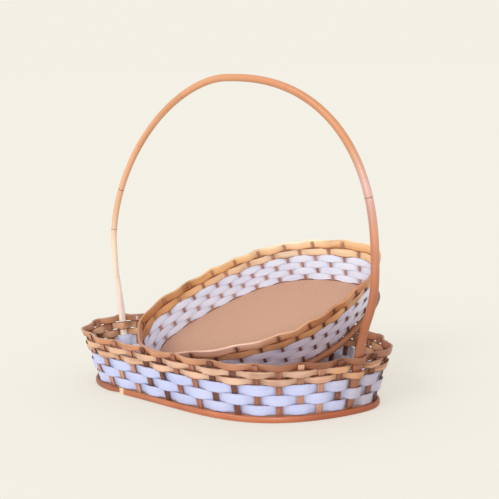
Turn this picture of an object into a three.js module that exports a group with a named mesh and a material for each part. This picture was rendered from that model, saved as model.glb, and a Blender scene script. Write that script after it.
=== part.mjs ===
import * as THREE from "three";

// A woven oval basket with a cane handle, and the smaller basket of the same make, without
// a handle, that leans inside it. Each has a hardboard floor, a base hoop round it, flat
// stakes that rise between the two, and rows of strip and cane that pass in front of one
// stake and behind the next. Sizes are in millimetres and +Z is up. The origin is the
// middle of the larger basket's floor, on the surface that it stands on, +X runs to the
// end by the handle's thick foot and -Y is the front.

// What the rows of each basket are woven from
const basketStrip = { kind: "strip", height: 12.2, thickness: 1.2 };
const basketCane = { kind: "cane", height: 8.6, thickness: 3 };
const basketRim = { kind: "rim", height: 7.9, thickness: 3.2 };
const trayStrip = { kind: "strip", height: 10, thickness: 1.2 };
const trayCane = { kind: "cane", height: 8, thickness: 2.2 };
const trayRim = { kind: "rim", height: 7.6, thickness: 2.4 };

// How the gaps between stakes vary round a basket: towards its left end, towards both its
// ends, and closer round one place, or wider there where the value is below 0. Places are
// shares of the way round, from the left tip, and the first stake stands at the last of
// them.
const basketSpacing = {
  toLeft: 0.088,
  toEnds: -0.1045,
  closeness: 0.425,
  closestShare: 0.961,
  closeShare: 0.069,
  startShare: 0.0062,
};
const traySpacing = {
  toLeft: 0.0204,
  toEnds: 0.1209,
  closeness: -0.5881,
  closestShare: 0.1577,
  closeShare: 0.0839,
  startShare: -0.0074,
};

// The larger basket. Its right end leans out a little further than its sides, and its base
// hoop is a half-round cane, flat side inwards.
const basket = {
  name: "basket",
  length: 356,
  width: 177.4,
  egg: -0.015,
  point: -0.07,
  skew: 0.16,
  flare: 15.7,
  endFlare: 2,
  floor: 5,
  floorLift: 0,
  hoop: 7.5,
  hoopThickness: 4.5,
  stakes: 40,
  spacing: basketSpacing,
  stakeWidth: 7.5,
  stakeThickness: 2.4,
  rows: [
    { name: "strip_1", ...basketStrip },
    { name: "strip_2", ...basketStrip },
    { name: "strip_3", ...basketStrip },
    { name: "cane_1", ...basketCane },
    { name: "cane_2", ...basketCane },
    { name: "rim_cane", ...basketRim },
  ],
};

// The smaller basket. Its right end leans out much further than its sides, and its base
// hoop is a whole round cane.
const tray = {
  name: "tray",
  length: 284,
  width: 151.2,
  egg: 0.154,
  point: -0.093,
  skew: 0.094,
  flare: 3,
  endFlare: 15,
  floor: 3.2,
  floorLift: 3.6,
  hoop: 7,
  hoopThickness: 7,
  stakes: 36,
  spacing: traySpacing,
  stakeWidth: 4.2,
  stakeThickness: 1.7,
  rows: [
    { name: "strip_1", ...trayStrip },
    { name: "strip_2", ...trayStrip },
    { name: "strip_3", ...trayStrip },
    { name: "strip_4", ...trayStrip },
    { name: "cane_1", ...trayCane },
    { name: "rim_cane", ...trayRim },
  ],
};

// Clearances between pieces that touch
const CLEARANCE = 0.3;
const ROW_GAP = 0.3;
const STAKE_SIDE_GAP = 1;
const SEAT_GAP = 0.35;

// Stakes and base hoops, and how late along a basket its right end leans further out
const STAKE_STANDOUT = 0.4;
const END_FLARE_POWER = 4;
const HAIRPIN_HEIGHT = 3.6;
const HOOP_SIDES = 8;

// The handle: one tapering rod, whose whittled feet take the place of two stakes. Each leg
// bulges out past its foot and is widest at its shoulder, and the arch bends over evenly
// from there, squarer on the thick side.
const HANDLE_TOP = 378;
const HANDLE_THICK_END = 9.8;
const HANDLE_THIN_END = 7.1;
const RIGHT_SHOULDER = { height: 177.8, bulge: 21, power: 2.38, stiffness: 0.564 };
const LEFT_SHOULDER = { height: 165.8, bulge: 6.4, power: 1.71, stiffness: 0.656 };
const FOOT_SWELL = 6;
const FOOT_BLEND = 30;
const RIGHT_FOOT = { stake: 17, width: 12.6, thickness: 7 };
const LEFT_FOOT = { stake: 37, width: 9.2, thickness: 5.2 };
const ROD_SIDES = 10;

// How the smaller basket leans: turned about Z, tipped up at its right end, and leant
// towards the front, with its middle this far to the right of the larger one's
const TRAY_TURN = 26.2;
const TRAY_TIP = 16.6;
const TRAY_LEAN = 26.6;
const TRAY_SHIFT = 25.5;

// How finely the outline, the handle and the leaning basket's seat are worked out
const OUTLINE_STEPS = 720;
const LEG_STEPS = 7;
const ARCH_STEPS = 13;
const SEAT_LEVELS = 6;
const SEAT_PARTS = 4;
const SEAT_STEP = 1;
const SEAT_FINE_STEP = 0.02;

const colours = {
  strip: { color: 0xccd2ee, roughness: 0.5, metalness: 0 },
  cane: { color: 0xdcb68c, roughness: 0.42, metalness: 0 },
  rim: { color: 0xb98662, roughness: 0.45, metalness: 0 },
  stake: { color: 0x96563e, roughness: 0.5, metalness: 0 },
  hoop: { color: 0xc36a44, roughness: 0.4, metalness: 0 },
  board: { color: 0xcaa088, roughness: 0.75, metalness: 0 },
  rod: { color: 0xd8875c, roughness: 0.32, metalness: 0 },
};

function material(kind) {
  return new THREE.MeshStandardMaterial(colours[kind]);
}

function mesh(name, geometry, kind) {
  const made = new THREE.Mesh(geometry, material(kind));
  made.name = name;
  return made;
}

// A closed solid from its corners and triangles, with its faces turned to look out
function solid(points, triangles) {
  let volume = 0;
  for (const [a, b, c] of triangles) {
    volume += points[a].dot(new THREE.Vector3().crossVectors(points[b], points[c]));
  }
  const index = [];
  for (const [a, b, c] of triangles) {
    index.push(a, volume > 0 ? b : c, volume > 0 ? c : b);
  }
  const geometry = new THREE.BufferGeometry();
  const flat = points.flatMap((p) => [p.x, p.y, p.z]);
  geometry.setAttribute("position", new THREE.Float32BufferAttribute(flat, 3));
  geometry.setIndex(index);
  geometry.computeVertexNormals();
  return geometry;
}

// A solid through a list of sections with the same number of corners: a closed loop, or a
// bar with an end at each side
function loft(sections, isLoop) {
  const corners = sections[0].length;
  const points = sections.flat();
  const triangles = [];
  const spans = isLoop ? sections.length : sections.length - 1;
  for (let s = 0; s < spans; s += 1) {
    const here = s * corners;
    const next = ((s + 1) % sections.length) * corners;
    for (let c = 0; c < corners; c += 1) {
      const d = (c + 1) % corners;
      triangles.push([here + c, here + d, next + d]);
      triangles.push([here + c, next + d, next + c]);
    }
  }
  if (!isLoop) {
    const last = (sections.length - 1) * corners;
    const ends = [
      [0, 1],
      [last, -1],
    ];
    for (const [start, turn] of ends) {
      const middle = new THREE.Vector3();
      for (let c = 0; c < corners; c += 1) {
        middle.addScaledVector(points[start + c], 1 / corners);
      }
      const hub = points.push(middle) - 1;
      for (let c = 0; c < corners; c += 1) {
        const d = (c + 1) % corners;
        triangles.push(turn > 0 ? [hub, start + d, start + c] : [hub, start + c, start + d]);
      }
    }
  }
  return solid(points, triangles);
}

// The base outline runs from the left tip along the front to the right end and back. Its
// half width follows a sine, made egg-shaped, pointed and skew by three harmonics.
function outlineOf(shape) {
  const points = [];
  let widest = 0;
  for (let k = 0; k < OUTLINE_STEPS; k += 1) {
    const t = (2 * Math.PI * k) / OUTLINE_STEPS;
    const swell =
      1 +
      shape.egg * Math.cos(t) +
      shape.point * Math.cos(2 * t) +
      shape.skew * Math.cos(3 * t);
    const depth = Math.sin(t) * swell;
    widest = Math.max(widest, depth);
    points.push(new THREE.Vector2((-shape.length / 2) * Math.cos(t), -depth));
  }
  points.forEach((p) => p.setY((p.y * shape.width) / 2 / widest));
  const along = [0];
  for (let k = 0; k < OUTLINE_STEPS; k += 1) {
    along.push(along[k] + points[k].distanceTo(points[(k + 1) % OUTLINE_STEPS]));
  }
  return { points, along, around: along[OUTLINE_STEPS] };
}

// The place on the outline at a share of the way round, with its outward direction
function placeAt(outline, share) {
  const { points, along, around } = outline;
  const distance = (((share % 1) + 1) % 1) * around;
  let k = 0;
  while (along[k + 1] < distance) {
    k += 1;
  }
  const from = points[k];
  const to = points[(k + 1) % points.length];
  const part = (distance - along[k]) / (along[k + 1] - along[k]);
  const tangent = to.clone().sub(from).normalize();
  return {
    at: from.clone().lerp(to, part),
    tangent,
    outward: new THREE.Vector2(tangent.y, -tangent.x),
  };
}

function wallHeight(shape) {
  return shape.rows.reduce((sum, row) => sum + ROW_GAP + row.height, shape.hoop);
}

// How far round the outline each stake stands, as a share of the whole way
function sharesOf(shape) {
  const { toLeft, toEnds, closeness, closestShare, closeShare, startShare } = shape.spacing;
  const sums = [0];
  for (let i = 0; i < shape.stakes; i += 1) {
    const middle = (i + 0.5) / shape.stakes;
    const turn = 2 * Math.PI * middle;
    const apart = Math.abs(middle - closestShare);
    const away = Math.min(apart, 1 - apart) / closeShare;
    const swing = toLeft * Math.cos(turn) + toEnds * Math.cos(2 * turn);
    sums.push(sums[i] + 1 + swing - closeness * Math.exp(-(away ** 2)));
  }
  return sums.map((sum) => startShare + sum / sums[shape.stakes]);
}

// Where each stake stands, how far its top leans out, and how much of the wall it fills
function stationsOf(shape, feet) {
  const outline = outlineOf(shape);
  const shares = sharesOf(shape);
  const stations = [];
  for (let i = 0; i < shape.stakes; i += 1) {
    const place = placeAt(outline, shares[i]);
    const towardsEnd = 0.5 + place.at.x / shape.length;
    const foot = feet.find((f) => f.stake === i);
    stations.push({
      ...place,
      lean: shape.flare + shape.endFlare * towardsEnd ** END_FLARE_POWER,
      width: foot ? foot.width : shape.stakeWidth,
      thickness: foot ? foot.thickness : shape.stakeThickness,
      isFoot: Boolean(foot),
    });
  }
  return stations;
}

// The wall stands upright behind the hoop and leans out evenly above it
function leanAt(shape, station, z) {
  const rise = (z - shape.hoop) / (wallHeight(shape) - shape.hoop);
  return station.lean * Math.max(0, rise);
}

// A point at a station: outward from the wall's middle line, along it, and up
function wallPoint(shape, station, outward, sideways, z) {
  const out = leanAt(shape, station, z) + outward;
  return new THREE.Vector3(
    station.at.x + station.outward.x * out + station.tangent.x * sideways,
    station.at.y + station.outward.y * out + station.tangent.y * sideways,
    z,
  );
}

function reach(station) {
  return station.width / 2 + STAKE_SIDE_GAP;
}

// The base's corners, two at each station, moved out by a distance with square mitres
function baseCorners(stations, outward) {
  const corners = [];
  for (const s of stations) {
    corners.push(s.at.clone().addScaledVector(s.tangent, -reach(s)));
    corners.push(s.at.clone().addScaledVector(s.tangent, reach(s)));
  }
  return corners.map((corner, k) => {
    const before = corners[(k + corners.length - 1) % corners.length];
    const after = corners[(k + 1) % corners.length];
    const into = corner.clone().sub(before).normalize();
    const away = after.clone().sub(corner).normalize();
    const mitre = new THREE.Vector2(into.y + away.y, -into.x - away.x);
    const scale = outward / (1 + into.dot(away));
    return corner.clone().addScaledVector(mitre, scale);
  });
}

function boardGeometry(shape, stations) {
  const edge = baseCorners(stations, -shape.stakeThickness / 2 - CLEARANCE);
  const levels = [shape.floorLift, shape.floorLift + shape.floor];
  return loft(
    levels.map((z) => edge.map((p) => new THREE.Vector3(p.x, p.y, z))),
    false,
  );
}

// A rounded hoop with flats below, above and against the stakes
function hoopGeometry(shape, stations) {
  const high = shape.hoop / 2;
  const deep = shape.hoopThickness / 2;
  const middle = shape.stakeThickness / 2 + CLEARANCE + deep;
  const corner = 1 / Math.cos(Math.PI / HOOP_SIDES);
  const rings = [];
  for (let k = 0; k < HOOP_SIDES; k += 1) {
    const angle = (2 * Math.PI * (k + 0.5)) / HOOP_SIDES;
    rings.push({
      edge: baseCorners(stations, middle + deep * corner * Math.cos(angle)),
      z: high + high * corner * Math.sin(angle),
    });
  }
  const sections = rings[0].edge.map((_, n) =>
    rings.map(({ edge, z }) => new THREE.Vector3(edge[n].x, edge[n].y, z)),
  );
  return loft(sections, true);
}

// One row of strip or cane: in front of one stake, behind the next, all the way round
function rowGeometry(shape, stations, row, number, bottom) {
  const sections = [];
  stations.forEach((station, i) => {
    const side = (i + number) % 2 === 0 ? 1 : -1;
    const middle = side * (station.thickness / 2 + CLEARANCE + row.thickness / 2);
    const inner = middle - row.thickness / 2;
    const outer = middle + row.thickness / 2;
    const top = bottom + row.height;
    for (const sideways of [-reach(station), reach(station)]) {
      sections.push([
        wallPoint(shape, station, inner, sideways, bottom),
        wallPoint(shape, station, outer, sideways, bottom),
        wallPoint(shape, station, outer, sideways, top),
        wallPoint(shape, station, inner, sideways, top),
      ]);
    }
  });
  return loft(sections, true);
}

// A stake's section, from one side of it to the other
function acrossStake(shape, station, far, farZ, near, nearZ) {
  const half = shape.stakeThickness / 2;
  return [
    wallPoint(shape, station, -half, far, farZ),
    wallPoint(shape, station, half, far, farZ),
    wallPoint(shape, station, half, near, nearZ),
    wallPoint(shape, station, -half, near, nearZ),
  ];
}

// A stake with no partner beside it goes straight down into the gap at the base
function singleGeometry(shape, station) {
  const w = shape.stakeWidth / 2;
  const levels = [wallHeight(shape) + STAKE_STANDOUT, shape.hoop, CLEARANCE];
  return loft(
    levels.map((z) => acrossStake(shape, station, -w, z, w, z)),
    false,
  );
}

// Two neighbouring stakes are one splint: down the wall, along between the board and the
// hoop, and up again
function hairpinGeometry(shape, stations, first, second) {
  const half = shape.stakeThickness / 2;
  const foot = CLEARANCE;
  const crook = foot + HAIRPIN_HEIGHT;
  const top = wallHeight(shape) + STAKE_STANDOUT;
  const across = (number, far, farZ, near, nearZ) =>
    acrossStake(shape, stations[number], far, farZ, near, nearZ);
  const inner = baseCorners(stations, -half);
  const outer = baseCorners(stations, half);
  const run = (corner) => [
    new THREE.Vector3(inner[corner].x, inner[corner].y, foot),
    new THREE.Vector3(outer[corner].x, outer[corner].y, foot),
    new THREE.Vector3(outer[corner].x, outer[corner].y, crook),
    new THREE.Vector3(inner[corner].x, inner[corner].y, crook),
  ];
  const w = shape.stakeWidth / 2;
  return loft(
    [
      across(first, -w, top, w, top),
      across(first, -w, shape.hoop, w, shape.hoop),
      across(first, -w, foot, w, crook),
      run(2 * first + 1),
      run(2 * second),
      across(second, w, foot, -w, crook),
      across(second, w, shape.hoop, -w, shape.hoop),
      across(second, w, top, -w, top),
    ],
    false,
  );
}

function weave(shape, feet) {
  const group = new THREE.Group();
  const stations = stationsOf(shape, feet);
  group.add(mesh(`${shape.name}_board`, boardGeometry(shape, stations), "board"));
  group.add(mesh(`${shape.name}_base_hoop`, hoopGeometry(shape, stations), "hoop"));
  let bottom = shape.hoop + ROW_GAP;
  shape.rows.forEach((row, number) => {
    const geometry = rowGeometry(shape, stations, row, number, bottom);
    group.add(mesh(`${shape.name}_${row.name}`, geometry, row.kind));
    bottom += row.height + ROW_GAP;
  });
  let splints = 0;
  const start = feet.length > 0 ? Math.max(...feet.map((f) => f.stake)) + 1 : 0;
  for (let n = 0; n < shape.stakes; n += 1) {
    const first = (start + n) % shape.stakes;
    if (stations[first].isFoot) {
      continue;
    }
    const second = (first + 1) % shape.stakes;
    const isSingle = stations[second].isFoot;
    splints += 1;
    n += isSingle ? 0 : 1;
    const name = `${shape.name}_stakes_${String(splints).padStart(2, "0")}`;
    const geometry = isSingle
      ? singleGeometry(shape, stations[first])
      : hairpinGeometry(shape, stations, first, second);
    group.add(mesh(name, geometry, "stake"));
  }
  return { group, stations };
}

// The handle's middle line, from the right foot to the left, with the section's two
// half sizes at each place
function handlePath(stations) {
  const height = wallHeight(basket);
  const swellTop = basket.hoop + FOOT_SWELL;
  const right = stations[RIGHT_FOOT.stake];
  const left = stations[LEFT_FOOT.stake];
  const rimRight = wallPoint(basket, right, 0, 0, height);
  const rimLeft = wallPoint(basket, left, 0, 0, height);
  const across = rimLeft.clone().sub(rimRight).normalize();
  const up = new THREE.Vector3(0, 0, 1);
  const side = new THREE.Vector3().crossVectors(across, up);
  const bulgeRight = rimRight.clone().addScaledVector(across, -RIGHT_SHOULDER.bulge);
  const bulgeLeft = rimLeft.clone().addScaledVector(across, LEFT_SHOULDER.bulge);
  bulgeRight.z = RIGHT_SHOULDER.height;
  bulgeLeft.z = LEFT_SHOULDER.height;
  const crown = bulgeRight.clone().lerp(bulgeLeft, 0.5);
  crown.z = HANDLE_TOP - (HANDLE_THICK_END + HANDLE_THIN_END) / 4;

  const foot = (station, inFoot, sign) => {
    const slot = basket.stakeThickness / 2;
    const levels = [
      [CLEARANCE, slot],
      [basket.hoop + CLEARANCE, slot],
      [swellTop, inFoot.thickness / 2],
      [height, inFoot.thickness / 2],
    ];
    return levels.map(([z, thin]) => ({
      at: wallPoint(basket, station, 0, 0, z),
      wide: inFoot.width / 2,
      thin,
      side: new THREE.Vector3(station.tangent.x * sign, station.tangent.y * sign, 0),
      inward: new THREE.Vector3(-station.outward.x, -station.outward.y, 0),
    }));
  };

  const leg = (station, rim, bulge, stiffness) => {
    const slope = wallPoint(basket, station, 0, 0, height);
    slope.sub(wallPoint(basket, station, 0, 0, basket.hoop));
    const pull = (bulge.z - height) * stiffness;
    const curve = new THREE.CubicBezierCurve3(
      rim,
      rim.clone().addScaledVector(slope.normalize(), pull),
      bulge.clone().addScaledVector(up, -pull),
      bulge,
    );
    return curve.getPoints(LEG_STEPS).slice(1, -1);
  };

  // Half of the arch, from a shoulder to just before the crown
  const halfArch = (bulge, power) => {
    const points = [];
    for (let k = 0; k < ARCH_STEPS; k += 1) {
      const angle = (Math.PI * k) / (2 * ARCH_STEPS);
      const out = Math.cos(angle) ** (2 / power);
      const at = crown.clone().lerp(bulge, out);
      at.z = bulge.z + (crown.z - bulge.z) * Math.sin(angle) ** (2 / power);
      points.push(at);
    }
    return points;
  };

  const rod = [
    ...leg(right, rimRight, bulgeRight, RIGHT_SHOULDER.stiffness),
    ...halfArch(bulgeRight, RIGHT_SHOULDER.power),
    crown,
    ...halfArch(bulgeLeft, LEFT_SHOULDER.power).reverse(),
    ...leg(left, rimLeft, bulgeLeft, LEFT_SHOULDER.stiffness).reverse(),
  ];

  const rightSide = new THREE.Vector3(right.tangent.x, right.tangent.y, 0);
  const leftSide = new THREE.Vector3(-left.tangent.x, -left.tangent.y, 0);
  const sections = foot(right, RIGHT_FOOT, 1);
  rod.forEach((at, k) => {
    const before = k > 0 ? rod[k - 1] : rimRight;
    const after = k < rod.length - 1 ? rod[k + 1] : rimLeft;
    const heading = after.clone().sub(before).normalize();
    const share = (k + 1) / (rod.length + 1);
    const radius = THREE.MathUtils.lerp(HANDLE_THICK_END, HANDLE_THIN_END, share) / 2;
    const isRight = share < 0.5;
    const rim = isRight ? rimRight : rimLeft;
    const inFoot = isRight ? RIGHT_FOOT : LEFT_FOOT;
    const round = THREE.MathUtils.smoothstep(at.distanceTo(rim), 0, FOOT_BLEND);
    const turned = (isRight ? rightSide : leftSide).clone().lerp(side, round);
    const inward = new THREE.Vector3().crossVectors(heading, turned).normalize();
    sections.push({
      at,
      wide: THREE.MathUtils.lerp(inFoot.width / 2, radius, round),
      thin: THREE.MathUtils.lerp(inFoot.thickness / 2, radius, round),
      side: new THREE.Vector3().crossVectors(inward, heading).normalize(),
      inward,
    });
  });
  sections.push(...foot(left, LEFT_FOOT, -1).reverse());
  return sections;
}

function handleGeometry(stations) {
  const sections = handlePath(stations).map(({ at, wide, thin, side, inward }) => {
    const ring = [];
    for (let k = 0; k < ROD_SIDES; k += 1) {
      const angle = (2 * Math.PI * k) / ROD_SIDES;
      const corner = at.clone().addScaledVector(side, wide * Math.cos(angle));
      ring.push(corner.addScaledVector(inward, thin * Math.sin(angle)));
    }
    return ring;
  });
  return loft(sections, false);
}

// How far a point lies outside a closed outline, or inside it where negative
function outsideBy(point, outline) {
  let nearest = Infinity;
  let isInside = false;
  const foot = new THREE.Vector2();
  outline.forEach((from, k) => {
    const to = outline[(k + 1) % outline.length];
    const edge = to.clone().sub(from);
    const part = foot.copy(point).sub(from).dot(edge) / edge.lengthSq();
    foot.copy(from).addScaledVector(edge, THREE.MathUtils.clamp(part, 0, 1));
    nearest = Math.min(nearest, foot.distanceTo(point));
    const crosses = from.y > point.y !== to.y > point.y;
    if (crosses && point.x < from.x + (edge.x * (point.y - from.y)) / edge.y) {
      isInside = !isInside;
    }
  });
  return isInside ? -nearest : nearest;
}

// The leaning basket's room: its outer faces at some levels, as outlines in its own frame
function envelopeOf(shape, stations) {
  const top = wallHeight(shape) + STAKE_STANDOUT;
  const face = shape.stakeThickness / 2 + CLEARANCE;
  const weft = face + Math.max(...shape.rows.map((row) => row.thickness));
  const levels = [];
  for (let k = 1; k <= SEAT_LEVELS; k += 1) {
    const z = shape.hoop + ((top - shape.hoop) * k) / SEAT_LEVELS;
    const corners = [];
    for (const s of stations) {
      for (const sideways of [-reach(s), reach(s)]) {
        const p = wallPoint(shape, s, weft, sideways, z);
        corners.push(new THREE.Vector2(p.x, p.y));
      }
    }
    levels.push({ z, corners });
  }
  const hoopEdge = baseCorners(stations, face + shape.hoopThickness);
  return [{ z: 0, corners: hoopEdge }, { z: shape.hoop, corners: hoopEdge }, ...levels];
}

// Whether the leaning basket has room all round among points of the standing one
function hasRoom(points, envelope, pose) {
  const back = pose.clone().invert();
  const local = new THREE.Vector3();
  const top = envelope[envelope.length - 1];
  return points.every((point) => {
    local.copy(point).applyMatrix4(back);
    if (local.z > top.z + SEAT_GAP || local.z < -SEAT_GAP) {
      return true;
    }
    const level = envelope.find((l) => l.z >= local.z) ?? top;
    return outsideBy(new THREE.Vector2(local.x, local.y), level.corners) >= SEAT_GAP;
  });
}

// The leaning basket stands with its low edge on the floor and is pushed back until its
// underside meets the back rim. It is raised only where it would fit nowhere.
function seatOf(shape, stations, leaningPoints, standingPoints) {
  const turn = new THREE.Euler(
    THREE.MathUtils.degToRad(TRAY_LEAN),
    THREE.MathUtils.degToRad(-TRAY_TIP),
    THREE.MathUtils.degToRad(TRAY_TURN),
    "ZYX",
  );
  const rotation = new THREE.Matrix4().makeRotationFromEuler(turn);
  const envelope = envelopeOf(shape, stations);
  const low = leaningPoints.reduce(
    (least, point) => Math.min(least, point.clone().applyMatrix4(rotation).z),
    Infinity,
  );
  const onFloor = basket.floorLift + basket.floor + SEAT_GAP - low;
  const poseAt = (y, rise) => {
    const move = new THREE.Matrix4().makeTranslation(TRAY_SHIFT, y, onFloor + rise);
    return move.multiply(rotation);
  };
  const fits = (y, rise) => hasRoom(standingPoints, envelope, poseAt(y, rise));
  const furthestBack = (rise) => {
    for (let y = basket.width / 2; y > -basket.width / 2; y -= SEAT_STEP) {
      if (fits(y, rise)) {
        return y;
      }
    }
    return null;
  };
  let rise = 0;
  let y = furthestBack(rise);
  while (y === null) {
    rise += SEAT_STEP;
    y = furthestBack(rise);
  }
  for (let part = SEAT_STEP; part > SEAT_FINE_STEP; part /= 2) {
    if (fits(y + part, rise)) {
      y += part;
    }
  }
  return { position: new THREE.Vector3(TRAY_SHIFT, y, onFloor + rise), turn };
}

// Points of a basket that the other one could meet: the corners of its pieces, and places
// along the edges between them
function contactPoints(group) {
  const points = [];
  group.traverse((piece) => {
    if (!piece.isMesh) {
      return;
    }
    const corners = piece.geometry.attributes.position;
    const index = piece.geometry.index;
    for (let k = 0; k < index.count; k += 3) {
      const a = new THREE.Vector3().fromBufferAttribute(corners, index.getX(k));
      const b = new THREE.Vector3().fromBufferAttribute(corners, index.getX(k + 1));
      for (let n = 0; n < SEAT_PARTS; n += 1) {
        points.push(a.clone().lerp(b, n / SEAT_PARTS));
      }
    }
  });
  return points;
}

const standing = weave(basket, [RIGHT_FOOT, LEFT_FOOT]);
const standingPoints = contactPoints(standing.group);
standing.group.add(mesh("handle", handleGeometry(standing.stations), "rod"));

const leaning = weave(tray, []);
const leaningPoints = contactPoints(leaning.group);
const seat = seatOf(tray, leaning.stations, leaningPoints, standingPoints);
leaning.group.rotation.copy(seat.turn);
leaning.group.position.copy(seat.position);

const model = new THREE.Group();
model.add(standing.group);
model.add(leaning.group);

export default model;
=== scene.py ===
import math
import random

import bpy
import numpy as np
from mathutils import Euler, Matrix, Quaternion, Vector


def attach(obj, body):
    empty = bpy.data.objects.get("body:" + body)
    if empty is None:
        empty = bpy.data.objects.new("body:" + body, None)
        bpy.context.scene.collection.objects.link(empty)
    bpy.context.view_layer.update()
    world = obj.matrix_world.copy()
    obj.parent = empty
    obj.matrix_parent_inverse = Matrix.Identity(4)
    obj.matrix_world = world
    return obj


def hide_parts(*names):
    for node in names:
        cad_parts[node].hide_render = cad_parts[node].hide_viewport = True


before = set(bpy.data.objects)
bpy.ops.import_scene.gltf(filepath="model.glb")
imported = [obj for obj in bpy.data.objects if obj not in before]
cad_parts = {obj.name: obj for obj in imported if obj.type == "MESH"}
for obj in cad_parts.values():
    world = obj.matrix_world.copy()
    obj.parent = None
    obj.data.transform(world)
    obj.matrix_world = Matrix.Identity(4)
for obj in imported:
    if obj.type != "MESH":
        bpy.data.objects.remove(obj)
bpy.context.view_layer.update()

# Sizes are in millimetres, as on the drawing of the baskets, and MM turns them into metres.
# The origin is the middle of the larger basket's underside, +X runs to the end by the
# handle's thick foot and -Y is the front.
MM = 0.001


def weft(name, kind, height, thickness):
    return {"name": name, "kind": kind, "height": height, "thickness": thickness}


# A basket's outline at its foot is an oval that egg, point and skew pull out of shape, and
# its wall leans out by flare, and more at the right end by end_flare. hoop is the base
# hoop's height, and hoop_joint the stake at which its ends meet. to_left, to_ends,
# closeness, closest_share, close_share and start_share space the stakes. The rows go from
# the bottom up.
#
# For each kind of row, flatness is how straight it runs past a stake, bulge how far it
# stands off the stake, and give how far the stake bends away from it. close is how much
# higher than its share of the wall a row is, and overlap how much more where it passes a
# stake.
#
# top_taper is the share of its width that a stake loses at its top. Stakes take their tone
# # by chance from stake_tones, where a tone named more often comes more often, but some
# # stakes, listed by number, are dark: painted shade on the stakes along the tray's front.
BASKET = {
    "name": "basket",
    "length": 356,
    "width": 177.4,
    "egg": -0.015,
    "point": -0.07,
    "skew": 0.16,
    "flare": 15.7,
    "end_flare": 2,
    "hoop": 7.5,
    "hoop_thickness": 4.5,
    "hoop_joint": 3.7,
    "stakes": 40,
    "to_left": 0.088,
    "to_ends": -0.1045,
    "closeness": 0.425,
    "closest_share": 0.961,
    "close_share": 0.069,
    "start_share": 0.0062,
    "splint_width": 7.2,
    "stake_thickness": 2.4,
    "splint_thickness": 2,
    "rows": [
        weft("strip_1", "strip", 12.2, 1.2),
        weft("strip_2", "strip", 12.2, 1.2),
        weft("strip_3", "strip", 12.2, 1.2),
        weft("cane_1", "cane", 8.6, 2.4),
        weft("cane_2", "cane", 8.6, 2.4),
        weft("rim_cane", "rim", 7.9, 2.6),
    ],
    "flatness": {"strip": 0.9, "cane": 1.7, "rim": 1.2},
    "bulge": {"strip": 0.9, "cane": 0.7, "rim": 0.6},
    "close": {"strip": 0.2, "cane": -0.5, "rim": -0.2},
    "overlap": {"strip": 1.5, "cane": 1.7, "rim": 1.1},
    "give": {"strip": 0.2, "cane": 0.1, "rim": 0.1},
    "top_taper": 0,
    "painted_shade_stakes": (),
    "stake_tones": ("dark", "brown", "brown", "brown", "light"),
}

TRAY = {
    "name": "tray",
    "length": 284,
    "width": 151.2,
    "egg": 0.154,
    "point": -0.093,
    "skew": 0.094,
    "flare": 3,
    "end_flare": 15,
    "hoop": 7,
    "hoop_thickness": 7,
    "hoop_joint": 25.3,
    "stakes": 36,
    "to_left": 0.0204,
    "to_ends": 0.1209,
    "closeness": -0.5881,
    "closest_share": 0.1577,
    "close_share": 0.0839,
    "start_share": -0.0074,
    "splint_width": 3.5,
    "stake_thickness": 1.7,
    "splint_thickness": 1.2,
    "rows": [
        weft("strip_1", "strip", 8.8, 0.9),
        weft("strip_2", "strip", 8.8, 0.9),
        weft("strip_3", "strip", 8.8, 0.9),
        weft("strip_4", "strip", 8.8, 0.9),
        weft("cane_1", "cane", 10.2, 1.9),
        weft("rim_cane", "rim", 10.2, 2.8),
    ],
    "flatness": {"strip": 1.2, "cane": 1.3, "rim": 1.0},
    "bulge": {"strip": 0.1, "cane": 0.1, "rim": 0.1},
    "close": {"strip": 0.6, "cane": 1.0, "rim": 0.8},
    "overlap": {"strip": 1.1, "cane": 0.7, "rim": 0.7},
    "give": {"strip": 0.35, "cane": 0.7, "rim": 0.9},
    "top_taper": 0.55,
    "painted_shade_stakes": range(1, 16),
    "stake_tones": ("brown", "light", "light"),
}

# What both baskets share: the stakes end STAKE_DIP under the rim's top and narrow over
# TAPER_HEIGHT, and the crook is where a splint is bent round at the foot to its second stake
CLEARANCE = 0.3
ROW_GAP = 0.3
END_FLARE_POWER = 4
STAKE_DIP = 1.5
TAPER_HEIGHT = 18
CROOK_HEIGHT = 3.6
CROOK_START = 0.2

# A base hoop's lapped joint: the lengths along it are counted in stakes
HOOP_LAP = 1.1
HOOP_TAPER = 0.8
HOOP_CUT = 0.32
HOOP_THINNING = 0.4
HOOP_LAP_GAP = 0.1
HOOP_CUT_EDGE = 0.3

# The handle's rod and its two woven feet, by the number of the stake that each replaces. A
# foot is as thick as it gets FOOT_SWELL above the hoop and as wide at the height FOOT_TAPER,
# its base may stand to one side, and FOOT_BLEND above the rim it has become the round rod.
# A shoulder, where a leg goes over into the arch, is given by its height and by how far it
# bulges past its foot. The leg holds the foot's slope longer with more stiffness, and the
# arch is squarer with a higher power.
HANDLE_TOP = 377.8
HANDLE_THICK_END = 9.8
HANDLE_THIN_END = 7.1
FOOT_SWELL = 6
FOOT_BLEND = 30
FOOT_TAPER = 46
RIGHT_FOOT = {
    "stake": 17,
    "width": 12.6,
    "base_width": 7.4,
    "base_shift": -3.4,
    "thickness": 7,
}
LEFT_FOOT = {
    "stake": 37,
    "width": 9.2,
    "base_width": 8,
    "base_shift": 0,
    "thickness": 5.2,
}
RIGHT_SHOULDER = {"height": 177.8, "bulge": 21, "power": 2.38, "stiffness": 0.564}
LEFT_SHOULDER = {"height": 165.8, "bulge": 6.4, "power": 1.71, "stiffness": 0.656}

# How the smaller basket lies: its lean in degrees, and where the middle of its underside is
TRAY_TURN = 26.2
TRAY_TIP = 16.6
TRAY_LEAN = 26.6
TRAY_PLACE = (25.5, 51.325, 59.786)

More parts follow.
